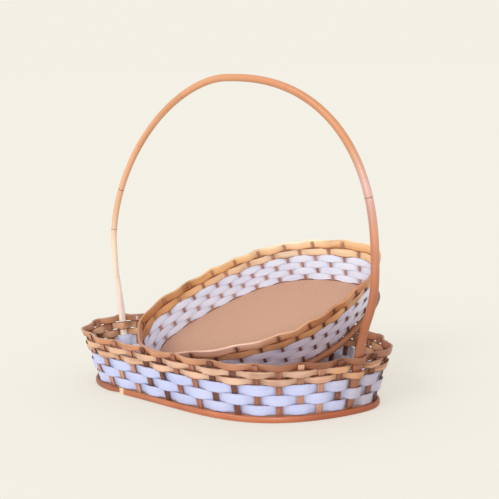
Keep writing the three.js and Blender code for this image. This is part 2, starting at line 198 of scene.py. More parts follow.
# How finely the pieces are made. MERGE_DISTANCE is in metres.
OUTLINE_STEPS = 720
STEPS_PER_STAKE = 12
HOOP_CUT_STEPS = 3
HOOP_LAP_STEPS = 7
HOOP_END_STEPS = 9
STAKE_STEPS = 25
CROOK_STEPS = 3
WEFT_CORNERS = 16
CANE_CORNERS = 14
ROD_CORNERS = 20
LEG_PARTS = 16
ARCH_PARTS = 44
FOOT_STEPS = 9
MERGE_DISTANCE = 1e-6
SMOOTH_ANGLE = 50

# How square the sections are: rows and hoops are squarer with a higher power than the 2
# of an ellipse, and splints with a lower one than its 1
SECTION_POWER = {"strip": 6, "cane": 5, "rim": 5}
HOOP_POWER = 2.4
SPLINT_SIDE_POWER = 0.6
SPLINT_FACE_POWER = 0.3

# How the rows fit round the stakes, and how uneven rows and stakes are
PRESS = 0.08
CREASE = {"strip": 0.0, "cane": 0.3, "rim": 0.3}
WAVER = {"strip": 0.25, "cane": 0.45, "rim": 0.4}
TILT = {"strip": 3, "cane": 6, "rim": 6}
FOOT_FLATNESS = 1.7
BULGE_LEAST = 0.5
BULGE_MOST = 1.5
LAP_START = 0.15
LAP_RISE = 0.45
BEND_LOW = 0.35
BEND_HIGH = 0.65
GRAIN_SHIFT = 0.31

# The photograph's point of view: what it looks at, from how far, and which way. The floor
# and what the camera can see are in metres.
CAMERA_AIM = (30.03, 0, 175.28)
CAMERA_DISTANCE = 1100
CAMERA_ELEVATION = 11
CAMERA_YAW = 23.155
CAMERA_ROLL = -2
CAMERA_LENS = 67.94
NEAREST_SEEN = 0.01
FARTHEST_SEEN = 200
FLOOR_SIZE = 120


def srgb(red, green, blue):
    """A colour as it looks, from 0 to 255, as the linear colour that a shader takes."""
    def linear(value):
        value /= 255
        return value / 12.92 if value <= 0.04045 else ((value + 0.055) / 1.055) ** 2.4

    return (linear(red), linear(green), linear(blue), 1)


def ease(part):
    """A share from 0 to 1, changed so that it starts and ends gently."""
    return part * part * (3 - 2 * part)


# The wall of a basket

class Wall:
    """Where the stakes stand round a basket, and where any point of its wall lies.

    A place round the wall is counted in stakes, from the left tip along the front to the
    right end and back. Points are in millimetres, in the basket's own frame."""

    def __init__(self, shape, feet=()):
        self.shape = shape
        self.feet = {foot["stake"]: foot for foot in feet}
        self.count = shape["stakes"]
        self.height = shape["hoop"] + sum(ROW_GAP + row["height"] for row in shape["rows"])
        self.turns = np.linspace(0, 2 * math.pi, OUTLINE_STEPS + 1)
        swell, _ = self.swell(self.turns)
        widest = (np.sin(self.turns) * swell).max()
        self.side = shape["width"] / 2 / widest
        points = self.outline(self.turns)[0]
        steps = np.linalg.norm(np.diff(points, axis=0), axis=1)
        self.along = np.concatenate([[0], np.cumsum(steps)])
        self.around = self.along[-1]
        self.shares = self.share_stakes()

    def swell(self, turn):
        s = self.shape
        swell = 1 + s["egg"] * np.cos(turn) + s["point"] * np.cos(2 * turn)
        swell = swell + s["skew"] * np.cos(3 * turn)
        change = -s["egg"] * np.sin(turn) - 2 * s["point"] * np.sin(2 * turn)
        change = change - 3 * s["skew"] * np.sin(3 * turn)
        return swell, change

    def outline(self, turn):
        """The base outline at some turns: points, and the directions along and outward."""
        swell, change = self.swell(turn)
        half = self.shape["length"] / 2
        points = np.stack([-half * np.cos(turn), -np.sin(turn) * swell * self.side], -1)
        slope = np.cos(turn) * swell + np.sin(turn) * change
        along = np.stack([half * np.sin(turn), -slope * self.side], -1)
        along = along / np.linalg.norm(along, axis=-1, keepdims=True)
        outward = np.stack([along[..., 1], -along[..., 0]], -1)
        return points, along, outward

    def share_stakes(self):
        """How far round the outline each stake stands, as a share of the whole way."""
        s = self.shape
        middle = (np.arange(self.count) + 0.5) / self.count
        apart = np.abs(middle - s["closest_share"])
        away = np.minimum(apart, 1 - apart) / s["close_share"]
        turn = 2 * math.pi * middle
        gaps = 1 + s["to_left"] * np.cos(turn) + s["to_ends"] * np.cos(2 * turn)
        gaps = gaps - s["closeness"] * np.exp(-away ** 2)
        sums = np.concatenate([[0], np.cumsum(gaps)])
        return s["start_share"] + sums / sums[-1]

    def at(self, place):
        """The outline at places counted in stakes, with the lean of the wall's top there."""
        place = np.asarray(place, float)
        share = np.interp(place % self.count, np.arange(self.count + 1), self.shares)
        distance = (share % 1) * self.around
        points, along, outward = self.outline(np.interp(distance, self.along, self.turns))
        to_end = 0.5 + points[..., 0] / self.shape["length"]
        lean = self.shape["flare"] + self.shape["end_flare"] * to_end ** END_FLARE_POWER
        return points, along, outward, lean

    def point(self, place, out, z, sideways=0):
        """Points of the wall: outward from its middle, up, and along it."""
        points, along, outward, lean = self.at(place)
        rise = (np.asarray(z, float) - self.shape["hoop"]) / (self.height - self.shape["hoop"])
        reach = lean * np.maximum(0, rise) + out
        x = points[..., 0] + outward[..., 0] * reach + along[..., 0] * sideways
        y = points[..., 1] + outward[..., 1] * reach + along[..., 1] * sideways
        z = np.broadcast_to(np.asarray(z, float), x.shape)
        return np.stack([x, y, z], -1)

    def thickness(self, number):
        """The thickness of what stands at a stake's place."""
        foot = self.feet.get(number % self.count)
        return foot["thickness"] if foot else self.shape["splint_thickness"]


# Where the baskets stand

def standing(points):
    return points * MM


def leaning(points):
    turn = Euler((math.radians(TRAY_LEAN), -math.radians(TRAY_TIP), math.radians(TRAY_TURN)))
    return (points @ np.array(turn.to_matrix()).T + TRAY_PLACE) * MM


# Making pieces

def select_only(piece):
    bpy.ops.object.select_all(action="DESELECT")
    piece.select_set(True)
    bpy.context.view_layer.objects.active = piece


def skin(name, rings, is_loop, uv_start=0.0, swing=None):
    """A closed piece through rings of points, given in metres: a grid is laid over the
    rings, its edges are sewn together, and the ends of a bar are filled. Its UV map runs
    along the piece in x, in metres, and once round it in y, from 0 to 1. A weft also has
    its swing, from -1 where it passes inside a stake to 1 where it passes outside."""
    rings = np.asarray(rings, float)
    if is_loop:
        rings = np.concatenate([rings, rings[:1]])
    rings = np.concatenate([rings, rings[:, :1]], axis=1)
    spans = rings.shape[0] - 1
    sides = rings.shape[1] - 1
    bpy.ops.object.select_all(action="DESELECT")
    bpy.ops.mesh.primitive_grid_add(x_subdivisions=spans, y_subdivisions=sides, size=1)
    piece = bpy.context.object
    piece.name = name
    mesh = piece.data
    mesh.name = name
    flat = np.empty(len(mesh.vertices) * 3)
    mesh.vertices.foreach_get("co", flat)
    flat = flat.reshape(-1, 3) + 0.5
    ring = np.rint(flat[:, 0] * spans).astype(int)
    corner = np.rint(flat[:, 1] * sides).astype(int)
    mesh.vertices.foreach_set("co", rings[ring, corner].ravel())
    if swing is not None:
        values = mesh.attributes.new("swing", "FLOAT", "POINT").data
        values.foreach_set("value", np.append(swing, swing[0])[ring])
    middle = rings[:, :-1].mean(axis=1)
    steps = np.linalg.norm(np.diff(middle, axis=0), axis=1)
    length = np.concatenate([[0], np.cumsum(steps)])
    uv_map = mesh.uv_layers.active.data
    uv = np.empty(len(uv_map) * 2)
    uv_map.foreach_get("uv", uv)
    uv = uv.reshape(-1, 2)
    uv[:, 0] = uv_start + np.interp(uv[:, 0] * spans, np.arange(spans + 1), length)
    uv_map.foreach_set("uv", uv.ravel())
    mesh.update()
    select_only(piece)
    bpy.ops.object.mode_set(mode="EDIT")
    bpy.ops.mesh.select_all(action="SELECT")
    bpy.ops.mesh.remove_doubles(threshold=MERGE_DISTANCE)
    if not is_loop:
        bpy.ops.mesh.fill_holes(sides=0)
    bpy.ops.mesh.normals_make_consistent(inside=False)
    bpy.ops.object.mode_set(mode="OBJECT")
    bpy.ops.object.shade_smooth_by_angle(angle=math.radians(SMOOTH_ANGLE))
    return piece


def oval(width, height, power, corners):
    """The corners of a rounded section, squarer with a higher power, from its top edge
    over the inner side to the lower edge and back."""
    angle = 2 * math.pi * (np.arange(corners) / corners + 0.25)
    across = np.sign(np.cos(angle)) * np.abs(np.cos(angle)) ** (2 / power) * width / 2
    up = np.sign(np.sin(angle)) * np.abs(np.sin(angle)) ** (2 / power) * height / 2
    return across, up


def between(values, place):
    """Values that are given at each stake, at places between the stakes."""
    return np.interp(place, np.arange(len(values)), values)


def wander(chance, count, place):
    """A smooth random value from -1 to 1 all round a wall, new at each stake."""
    knots = [chance.uniform(-1, 1) for _ in range(count)]
    knots = np.array(knots + knots[:1])
    low = np.floor(place).astype(int) % count
    part = ease(place % 1)
    return knots[low] * (1 - part) + knots[low + 1] * part


# The baskets' pieces

def offsets(wall, row, place, swing, chance):
    """How far outside the middle of the wall a row runs, negative where it is inside."""
    kind = row["kind"]
    shape = wall.shape
    reach = []
    flatness = []
    for i in range(wall.count):
        bulge = shape["bulge"][kind] * chance.uniform(BULGE_LEAST, BULGE_MOST)
        bulge -= 0 if i in wall.feet else shape["give"][kind]
        reach.append(wall.thickness(i) / 2 + PRESS + row["thickness"] / 2 + bulge)
        flatness.append(FOOT_FLATNESS if i in wall.feet else shape["flatness"][kind])
    reach = between(reach + reach[:1], place)
    flatness = between(flatness + flatness[:1], place)
    return reach * np.tanh(flatness * swing) / np.tanh(flatness)


def weave_row(wall, stand, row, number, bottom):
    """One row of strip or cane, in front of one stake and behind the next."""
    kind = row["kind"]
    shape = wall.shape
    chance = random.Random(f"{shape['name']} {row['name']}")
    place = np.arange(wall.count * STEPS_PER_STAKE) / STEPS_PER_STAKE
    swing = np.cos(math.pi * (place + number))
    swing = swing * (1 - CREASE[kind] + CREASE[kind] * swing ** 2)
    offset = offsets(wall, row, place, swing, chance)
    out, up = oval(row["thickness"], row["height"], SECTION_POWER[kind], WEFT_CORNERS)
    drift = WAVER[kind] * wander(chance, wall.count, place)
    tilt = math.radians(TILT[kind]) * wander(chance, wall.count, place)
    lap = ease(np.clip((np.abs(swing) - LAP_START) / LAP_RISE, 0, 1))
    spread = 1 + (shape["close"][kind] + shape["overlap"][kind] * lap) / row["height"]
    z = bottom + row["height"] / 2 + drift[:, None] + up * spread[:, None]
    z = np.maximum(z, shape["hoop"] + CLEARANCE)
    if kind == "rim":
        z = np.minimum(z, wall.height)
    across = offset[:, None] + out + up * np.tan(tilt)[:, None]
    rings = stand(wall.point(place[:, None], across, z))
    node = f"{shape['name']}_{row['name']}"
    piece = skin(f"{node}_woven", rings, True, swing=swing)
    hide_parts(node)
    return piece


def bend_hoop(wall, stand):
    """The cane hoop at the foot of the stakes. Its two ends lap, each pared to half its
    thickness: the outer one is cut off on a slant, the inner one runs on behind it."""
    shape = wall.shape
    turn = np.concatenate([
        np.linspace(0, HOOP_CUT, HOOP_CUT_STEPS, endpoint=False),
        np.linspace(HOOP_CUT, HOOP_LAP, HOOP_LAP_STEPS, endpoint=False),
        np.linspace(HOOP_LAP, wall.count, wall.count * STEPS_PER_STAKE)[:-1],
        np.linspace(wall.count, wall.count + HOOP_LAP, HOOP_END_STEPS + 1),
    ])
    deep = shape["hoop_thickness"] / 2
    out, up = oval(shape["hoop_thickness"], shape["hoop"], HOOP_POWER, CANE_CORNERS)
    middle = shape["stake_thickness"] / 2 + CLEARANCE + deep
    cut = np.clip(turn / HOOP_CUT, 0, 1)[:, None]
    outer = np.clip(1 - (turn - HOOP_LAP) / HOOP_TAPER, 0, 1)[:, None]
    inner = np.clip(1 - (wall.count - turn) / HOOP_TAPER, 0, 1)[:, None]
    low = outer * (deep + HOOP_LAP_GAP) - deep
    high = deep - inner * (deep + HOOP_LAP_GAP)
    across = np.clip(out[None, :], low, high)
    slant = np.minimum(across, cut * deep + HOOP_CUT_EDGE)
    across = np.where(turn[:, None] < HOOP_LAP, slant, across)
    rise = up[None, :] * (1 - HOOP_THINNING * inner)
    place = (shape["hoop_joint"] + turn)[:, None]
    rings = wall.point(place, middle + across, shape["hoop"] / 2 + rise)
    node = f"{shape['name']}_base_hoop"
    piece = skin(f"{node}_round", stand(rings), False)
    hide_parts(node)
    return piece


def splint_section(shape):
    """A stake's section: flat outside, rounded inside. Sideways and outward corners."""
    angle = 2 * math.pi * (np.arange(CANE_CORNERS) + 0.5) / CANE_CORNERS
    side = np.sign(np.cos(angle)) * np.abs(np.cos(angle)) ** SPLINT_SIDE_POWER
    rise = np.abs(np.sin(angle))
    out = np.where(np.sin(angle) > 0, rise ** SPLINT_FACE_POWER, -rise)
    return side, out * shape["splint_thickness"] / 2


def bend_stakes(wall, stand, node, first, is_single):
    """Two neighbouring stakes: one splint, bent round between the floor and the hoop. A
    single one goes straight down."""
    shape = wall.shape
    hoop = shape["hoop"]
    half_width = shape["splint_width"] / 2
    side, out = splint_section(shape)
    top = wall.height - STAKE_DIP
    levels = np.linspace(top, hoop, STAKE_STEPS + 1)
    knots = [hoop]
    gives = [0]
    bottom = hoop + ROW_GAP
    for number, row in enumerate(shape["rows"]):
        knots += [bottom + row["height"] * BEND_LOW, bottom + row["height"] * BEND_HIGH]
        gives += [-shape["give"][row["kind"]] * (-1) ** number] * 2
        bottom += row["height"] + ROW_GAP

    def rung(place, level, sideways):
        bend = np.interp(level, knots, gives) * (-1) ** place
        width = np.interp(level, [top - TAPER_HEIGHT, top], [1, 1 - shape["top_taper"]])
        return wall.point(place, out + bend, np.full(len(side), level),
                          sideways * half_width * width)

    down = [rung(first, level, side) for level in levels]
    if is_single:
        rings = [*down, rung(first, CLEARANCE, side)]
    else:
        run_z = CLEARANCE + (1 - side) / 2 * CROOK_HEIGHT
        corner_z = (hoop + CLEARANCE + CROOK_HEIGHT) / 2
        turn_z = (corner_z + run_z) / 2
        parts = np.linspace(CROOK_START, 1 - CROOK_START, CROOK_STEPS + 1)
        turn_down = wall.point(first, out, turn_z, side * half_width)
        run = [wall.point(first + part, out, run_z) for part in parts]
        turn_up = wall.point(first + 1, out, turn_z, -side * half_width)
        up = [rung(first + 1, level, -side) for level in levels[::-1]]
        rings = [*down, turn_down, *run, turn_up, *up]
    rings = stand(np.array(rings))
    piece = skin(f"{node}_splint", rings, False, uv_start=first * GRAIN_SHIFT)
    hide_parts(node)
    return piece


# The handle

UP = np.array([0, 0, 1.0])


def unit(vector):
    return vector / np.linalg.norm(vector)


def bezier(a, b, c, d, parts):
    t = np.arange(1, parts)[:, None] / parts
    return (1 - t) ** 3 * a + 3 * (1 - t) ** 2 * t * b + 3 * (1 - t) * t * t * c + t ** 3 * d


def handle_feet(wall):
    """The right foot and the left one: where each stands in the wall, and its shoulder."""
    feet = []
    for foot, shoulder, way_round in (
        (RIGHT_FOOT, RIGHT_SHOULDER, 1),
        (LEFT_FOOT, LEFT_SHOULDER, -1),
    ):
        _, along, outward, _ = wall.at(foot["stake"])
        feet.append({
            **foot,
            **shoulder,
            "rim": wall.point(foot["stake"], 0, wall.height),
            "base": wall.point(foot["stake"], 0, wall.shape["hoop"]),
            "along": np.append(along, 0) * way_round,
            "outward": np.append(outward, 0),
        })
    right, left = feet
    across = unit(left["rim"] - right["rim"])
    right["top"] = right["rim"] - across * right["bulge"]
    left["top"] = left["rim"] + across * left["bulge"]
    for foot in feet:
        foot["top"][2] = foot["height"]
    return right, left


def rod_line(wall, right, left):
    """The middle of the handle's rod, from the right foot over the crown to the left foot."""
    crown = (right["top"] + left["top"]) / 2
    crown[2] = HANDLE_TOP - (HANDLE_THICK_END + HANDLE_THIN_END) / 4

    def leg(foot):
        slope = unit(foot["rim"] - foot["base"])
        pull = (foot["height"] - wall.height) * foot["stiffness"]
        return bezier(foot["rim"], foot["rim"] + slope * pull,
                      foot["top"] - UP * pull, foot["top"], LEG_PARTS)

    def half_arch(foot):
        angle = (math.pi / 2 * np.arange(ARCH_PARTS) / ARCH_PARTS)[:, None]
        out = np.cos(angle) ** (2 / foot["power"])
        points = crown * (1 - out) + foot["top"] * out
        rise = (crown[2] - foot["height"]) * np.sin(angle) ** (2 / foot["power"])
        points[:, 2] = foot["height"] + rise[:, 0]
        return points

    return np.concatenate([
        leg(right), half_arch(right), [crown], half_arch(left)[::-1], leg(left)[::-1],
    ])


def ring(at, wide, thin, sideways, inward):
    """An elliptic section, given by half its width and half its thickness."""
    turn = (2 * math.pi * np.arange(ROD_CORNERS) / ROD_CORNERS)[:, None]
    return at + np.cos(turn) * sideways * wide + np.sin(turn) * inward * thin


def foot_rings(wall, foot):
    """The sections of a foot that is woven into the wall, from the bottom up."""
    hoop = wall.shape["hoop"]
    half = foot["thickness"] / 2
    half_slot = wall.shape["stake_thickness"] / 2
    levels = [
        (CLEARANCE, half_slot),
        (hoop + CLEARANCE, half_slot),
        *[(z, half) for z in np.linspace(hoop + FOOT_SWELL, wall.height, FOOT_STEPS + 1)],
    ]
    rings = []
    for z, thin in levels:
        part = ease(min(1, z / FOOT_TAPER))
        width = foot["base_width"] * (1 - part) + foot["width"] * part
        at = wall.point(foot["stake"], 0, z, foot["base_shift"] * (1 - part))
        rings.append(ring(at, width / 2, thin, foot["along"], -foot["outward"]))
    return rings


def handle_rings(wall):
    """The handle's sections, from the right foot over the crown to the left foot."""
    right, left = handle_feet(wall)
    rod = rod_line(wall, right, left)
    side = np.cross(unit(left["rim"] - right["rim"]), UP)
    line = np.concatenate([[right["rim"]], rod, [left["rim"]]])
    distance = np.cumsum(np.linalg.norm(np.diff(line, axis=0), axis=1))
    rings = foot_rings(wall, right)
    for k, at in enumerate(rod):
        heading = unit(line[k + 2] - line[k])
        share = distance[k] / distance[-1]
        radius = (HANDLE_THICK_END + (HANDLE_THIN_END - HANDLE_THICK_END) * share) / 2
        foot = right if share < 0.5 else left
        part = ease(min(1, np.linalg.norm(at - foot["rim"]) / FOOT_BLEND))
        turned = foot["along"] * (1 - part) + side * part
        inward = unit(np.cross(heading, turned))
        sideways = unit(np.cross(inward, heading))
        wide = foot["width"] / 2 * (1 - part) + radius * part
        thin = foot["thickness"] / 2 * (1 - part) + radius * part
        rings.append(ring(at, wide, thin, sideways, inward))
    rings += foot_rings(wall, left)[::-1]
    return np.array(rings)


def bend_handle(wall):
    piece = skin("handle_rod", standing(handle_rings(wall)), False)
    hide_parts("handle")
    return piece


# Materials

class Value:
    """A number that varies over a surface, with arithmetic that adds Math nodes."""

    def __init__(self, finish, socket):
        self.finish = finish
        self.socket = socket

    def maths(self, operation, first, second=0):
        settings = {"operation": operation}
        node = self.finish.node("ShaderNodeMath", settings, {0: first, 1: second})
        return Value(self.finish, node.outputs[0])

    def sine(self):
        return self.maths("SINE", self)

    def cosine(self):
        return self.maths("COSINE", self)

    def greater(self, other):
        return self.maths("MAXIMUM", self, other)

    def __add__(self, other):
        return self.maths("ADD", self, other)

    __radd__ = __add__

    def __sub__(self, other):
        return self.maths("SUBTRACT", self, other)

    def __rsub__(self, other):
        return self.maths("SUBTRACT", other, self)

    def __mul__(self, other):
        return self.maths("MULTIPLY", self, other)

    __rmul__ = __mul__


class Finish:
    """A material, or the world, and the nodes that are put into it."""

    def __init__(self, material):
        self.material = material
        self.material.use_nodes = True
        self.nodes = self.material.node_tree.nodes
        self.links = self.material.node_tree.links
        self.nodes.clear()

    def node(self, kind, settings=None, inputs=None):
        """Adds a node: its settings come first, then the values or links of its sockets."""
        node = self.nodes.new(kind)
        for name, value in (settings or {}).items():
            if name == "stops":
                self.set_stops(node.color_ramp, value)
            else:
                setattr(node, name, value)
        for name, value in (inputs or {}).items():
            socket = node.inputs[name]
            value = value.socket if isinstance(value, Value) else value
            if isinstance(value, bpy.types.NodeSocket):
                self.links.new(value, socket)
            else:
                socket.default_value = value
        return node

    @staticmethod
    def set_stops(ramp, stops):
        while len(ramp.elements) < len(stops):
            ramp.elements.new(0.5)
        for element, (position, colour) in zip(ramp.elements, stops):
            element.position = position
            element.color = colour

    def coordinates(self, kind, scale=(1, 1, 1)):
        """Object or UV coordinates, in metres, stretched by a scale for each axis."""
        start = self.node("ShaderNodeTexCoord").outputs[kind]
        return self.node("ShaderNodeMapping", {}, {"Vector": start, "Scale": scale}).outputs[0]

    def uv(self, axis):
        start = self.node("ShaderNodeTexCoord").outputs["UV"]
        return Value(self, self.node("ShaderNodeSeparateXYZ", {}, {0: start}).outputs[axis])

    def along(self):
        """How far along a piece, in metres."""
        return self.uv(0)

    def edges(self):
        """1 at a weft's upper and lower edges, and -1 in the middle of its two sides."""
        return (self.uv(1) * (4 * math.pi)).cosine()

    def lower_edge(self):
        """1 at a weft's lower edge, and -1 at its upper one."""
        return 0 - (self.uv(1) * (2 * math.pi)).cosine()

    def tucked_shade(self):
        """1 where a weft's seen side lies behind a stake, down to -1 in front of one: where it
        is high, painted shade is laid on.
        """
        swing = self.node("ShaderNodeAttribute", {"attribute_name": "swing"}).outputs["Fac"]
        return Value(self, swing) * (self.uv(1) * (2 * math.pi)).sine()

    def tones(self, along, tones):
        """The colours along a piece, each given with its place in metres."""
        length = tones[-1][0]
        stops = [(place / length, srgb(*colour)) for place, colour in tones]
        return self.ramp(along * (1 / length), stops)

    def noise(self, at, scale=1.0, detail=2.0, roughness=0.5):
        node = self.node("ShaderNodeTexNoise", {}, {
            "Vector": at,
            "Scale": scale,
            "Detail": detail,
            "Roughness": roughness,
        })
        return Value(self, node.outputs["Fac"])

    def grain(self, stretch, detail, roughness=0.5):
        """Streaks that follow a piece, by how often they change along it and round it."""
        return self.noise(self.coordinates("UV", stretch), detail=detail, roughness=roughness)

    def ramp(self, value, stops):
        node = self.node("ShaderNodeValToRGB", {"stops": stops}, {"Fac": value})
        return node.outputs["Color"]

    def step(self, value, low, high):
        """0 below low, 1 above high, and smooth between."""
        node = self.node(
            "ShaderNodeMapRange",
            {"interpolation_type": "SMOOTHSTEP"},
            {"Value": value, "From Min": low, "From Max": high},
        )
        return Value(self, node.outputs[0])

    def seen(self):
        """1 for what is looked at, straight or in a shiny surface, and 0 for the light."""
        rays = self.node("ShaderNodeLightPath").outputs
        straight = Value(self, rays["Is Camera Ray"])
        mirrored = Value(self, rays["Is Glossy Ray"])
        through = Value(self, rays["Is Transmission Ray"])
        return straight.greater(mirrored).greater(through)

    def mix(self, share, first, second, blend="MIX"):
        node = self.node(
            "ShaderNodeMix",
            {"data_type": "RGBA", "blend_type": blend},
            {0: share, 6: first, 7: second},
        )
        return node.outputs[2]

    def bump(self, height, distance):
        node = self.node("ShaderNodeBump", {}, {"Height": height, "Distance": distance})
        return node.outputs[0]

    def surface(self, **sockets):
        shader = self.node("ShaderNodeBsdfPrincipled", {}, {
            name.replace("_", " "): value for name, value in sockets.items()
        })
        self.node("ShaderNodeOutputMaterial", {}, {"Surface": shader.outputs[0]})
        return self.material


def new_finish(name):
    return Finish(bpy.data.materials.new(name))


# Painted shade: what a cane's colour is multiplied by towards its rounded edges, so that its
# middle looks lit and its edges shaded
CANE_EDGE_SHADE = (1.0, 0.76, 0.56, 1)

# How often a cane's tone changes along it, in a metre
CANE_CHANGES = 30
RIM_CHANGES = 24


def painted_strip(name, tones, edge_shade_tone):
    """Flat wood splint under a thin coat of lilac-white paint: the grain still shows. Its
    tones along the wall carry painted light and shade, and painted shade darkens its edges and
    the parts that go in behind a stake.
    """
    finish = new_finish(name)
    grain = finish.grain((14, 24, 1), detail=3, roughness=0.6)
    cloud = finish.noise(finish.coordinates("Object"), scale=38, detail=2)
    light = finish.ramp(grain * 0.5 + cloud * 0.5, [
        (0.34, srgb(234, 237, 251)),
        (0.5, srgb(248, 250, 255)),
        (0.64, srgb(255, 255, 255)),
    ])
    colour = finish.mix(1.0, finish.tones(finish.along(), tones), light, "MULTIPLY")
    # Painted shade between the rows: the strip darkens towards its upper and lower edges.
    edge = finish.step(finish.edges(), -0.6, 0.4)
    colour = finish.mix(edge * 0.45, colour, edge_shade_tone)
    # Painted shade where the strip goes in behind a stake.
    tucked_shade = finish.step(finish.tucked_shade(), 0.45, 1.0)
    return finish.surface(
        Base_Color=finish.mix(tucked_shade * 0.4, colour, srgb(140, 134, 172)),
        Roughness=0.36 + grain * 0.2,
        Normal=finish.bump(grain, 0.00022),
    )


def split_cane(name, tones, is_rim=False):
    """Split cane: its tones along the piece, with painted light and shade in them, long
    fibres, and a tone of its own for each stretch between two stakes. Painted shade darkens
    it towards its rounded edges, with a dark line at them, and where it goes in behind a
    stake; on the rim only the lower edge gets the painted shade."""
    finish = new_finish(name)
    fibre = finish.grain((12, 26, 1), detail=4, roughness=0.65)
    streak = finish.grain((24, 7, 1), detail=2)
    changes = RIM_CHANGES if is_rim else CANE_CHANGES
    cloud = finish.grain((changes, 0.6, 1), detail=1)
    shade = fibre * 0.25 + streak * 0.3 + cloud * 0.45
    light = finish.ramp(shade, [
        (0.36, srgb(172, 146, 130)),
        (0.46, srgb(236, 230, 226)),
        (0.58, srgb(255, 255, 255)),
    ])
    colour = finish.mix(1.0, finish.tones(finish.along(), tones), light, "MULTIPLY")
    # Painted shade: the cane darkens towards its rounded edges and has a dark line at them, a
    # rim only at its lower edge.
    if is_rim:
        edges = finish.lower_edge()
        rounding_shade = finish.step(edges, -0.6, 0.8)
        edge = finish.step(edges, 0.4, 0.85)
    else:
        edges = finish.edges()
        rounding_shade = finish.step(edges, -1.1, 0.4)
        edge = finish.step(edges, -0.6, 0.3)
    colour = finish.mix(rounding_shade, colour, CANE_EDGE_SHADE, "MULTIPLY")
    # Painted shade where the cane goes in behind a stake.
    tucked_shade = finish.step(finish.tucked_shade(), 0.7, 1.0)
    colour = finish.mix(tucked_shade * 0.5, colour, srgb(112, 58, 32))
    return finish.surface(
        Base_Color=finish.mix(edge * 0.9, colour, srgb(96, 46, 24)),
        Roughness=0.32 + fibre * 0.25,
        Normal=finish.bump(fibre, 0.0003),
        Coat_Weight=0.4,
        Coat_Roughness=0.15,
    )


def stake_splint(name, dark, middle, light):
    """A stake: half-round splint with its brown skin on."""
    finish = new_finish(name)
    fibre = finish.grain((30, 14, 1), detail=3, roughness=0.65)
    cloud = finish.grain((60, 2, 1), detail=2)
    shade = fibre * 0.4 + cloud * 0.6
    return finish.surface(
        Base_Color=finish.ramp(shade, [(0.34, dark), (0.5, middle), (0.66, light)]),
        Roughness=0.4 + fibre * 0.25,
        Normal=finish.bump(fibre, 0.0003),
    )


# Where the pale cut at a hoop's end fades out, in metres from the end
CUT_FADES = 0.0075
CUT_ENDS = 0.009


def hoop_cane(name, tones):
    """A hoop's cane: smooth, reddish or brown, and pale where its end is cut."""
    finish = new_finish(name)
    fibre = finish.grain((8, 17, 1), detail=3, roughness=0.6)
    cloud = finish.grain((14, 1, 1), detail=2)
    light = finish.ramp(fibre * 0.4 + cloud * 0.6, [
        (0.36, srgb(206, 190, 180)),
        (0.5, srgb(238, 234, 230)),
        (0.64, srgb(255, 255, 255)),
    ])
    colour = finish.mix(1.0, finish.tones(finish.along(), tones), light, "MULTIPLY")
    cut = 1 - finish.step(finish.along(), CUT_FADES, CUT_ENDS)
    return finish.surface(
        Base_Color=finish.mix(cut, colour, srgb(240, 196, 156)),
        Roughness=0.34 + fibre * 0.2,
        Normal=finish.bump(fibre, 0.0003),
        Coat_Weight=0.25,
        Coat_Roughness=0.2,
    )


# Along the handle, in metres from its right foot: its tones, and its leaf scars with how
# # dark each is. The tones are the rattan's own colour with painted light and shade in them:
# # the darker thick end is partly painted shade, the pale thin leg partly a painted highlight,
# # and the pinkish-white place at 0.26 a painted highlight.
ROD_TONES_AND_LIGHT = [
    (0.0, (146, 92, 68)),
    (0.06, (152, 92, 64)),
    (0.11, (159, 89, 53)),
    (0.155, (177, 107, 72)),
    (0.21, (208, 141, 108)),
    (0.26, (214, 170, 160)),
    (0.31, (200, 136, 94)),
    (0.4, (202, 134, 90)),
    (0.55, (212, 150, 108)),
    (0.68, (222, 162, 120)),
    (0.76, (226, 178, 142)),
    (0.8, (240, 208, 180)),
    (0.845, (238, 216, 198)),
    (0.887, (240, 214, 202)),
    (0.93, (252, 234, 214)),
    (0.99, (254, 238, 226)),
    (1.1, (248, 222, 204)),
]
ROD_SCARS = [
    (0.105, 0.5), (0.252, 0.8), (0.41, 0.35), (0.565, 0.4), (0.66, 0.3), (0.728, 1.0),
    (0.783, 0.8),
]
SCAR_WIDTH = 0.0012


def handle_rattan():
    """The handle: a whole rattan cane with its smooth skin on, darker at its thick end and
    pale on its thin leg, partly its own colour and partly painted light and shade, with a
    painted highlight on the right leg and a thin ring at each leaf scar."""
    finish = new_finish("handle_rattan")
    fibre = finish.grain((7, 16, 1), detail=3, roughness=0.6)
    cloud = finish.grain((10, 1.2, 1), detail=2)
    along = finish.along()
    shade = finish.ramp(fibre * 0.4 + cloud * 0.6, [
        (0.34, srgb(222, 212, 204)),
        (0.5, srgb(248, 246, 244)),
        (0.66, srgb(255, 255, 255)),
    ])
    colour = finish.mix(1.0, finish.tones(along, ROD_TONES_AND_LIGHT), shade, "MULTIPLY")
    scars = 0
    for place, depth in ROD_SCARS:
        near = finish.step(along, place - SCAR_WIDTH, place)
        far = finish.step(along, place, place + SCAR_WIDTH)
        scars = scars + near * (1 - far) * depth
    colour = finish.mix(scars * 0.8, colour, srgb(120, 72, 48))
    return finish.surface(
        Base_Color=colour,
        Roughness=0.3 + fibre * 0.2,
        Normal=finish.bump(fibre * 0.3 + scars, 0.0004),
        Coat_Weight=0.3,
        Coat_Roughness=0.2,
    )


def hardboard():
    """Hardboard: a fine even mottle of wood fibre, matt."""
    finish = new_finish("hardboard")
    coarse = finish.noise(finish.coordinates("Object"), scale=700, detail=3)
    fine = finish.noise(finish.coordinates("Object"), scale=2200, detail=2)
    colour = finish.ramp(coarse * 0.5 + fine * 0.5, [
        (0.34, srgb(180, 137, 112)),
        (0.5, srgb(188, 146, 121)),
        (0.66, srgb(195, 154, 130)),
    ])
    return finish.surface(
        Base_Color=colour,
        Roughness=0.7 + fine * 0.15,
        Normal=finish.bump(fine, 0.0002),
    )


def paint(piece, material):
    piece.data.materials.clear()
    piece.data.materials.append(material)


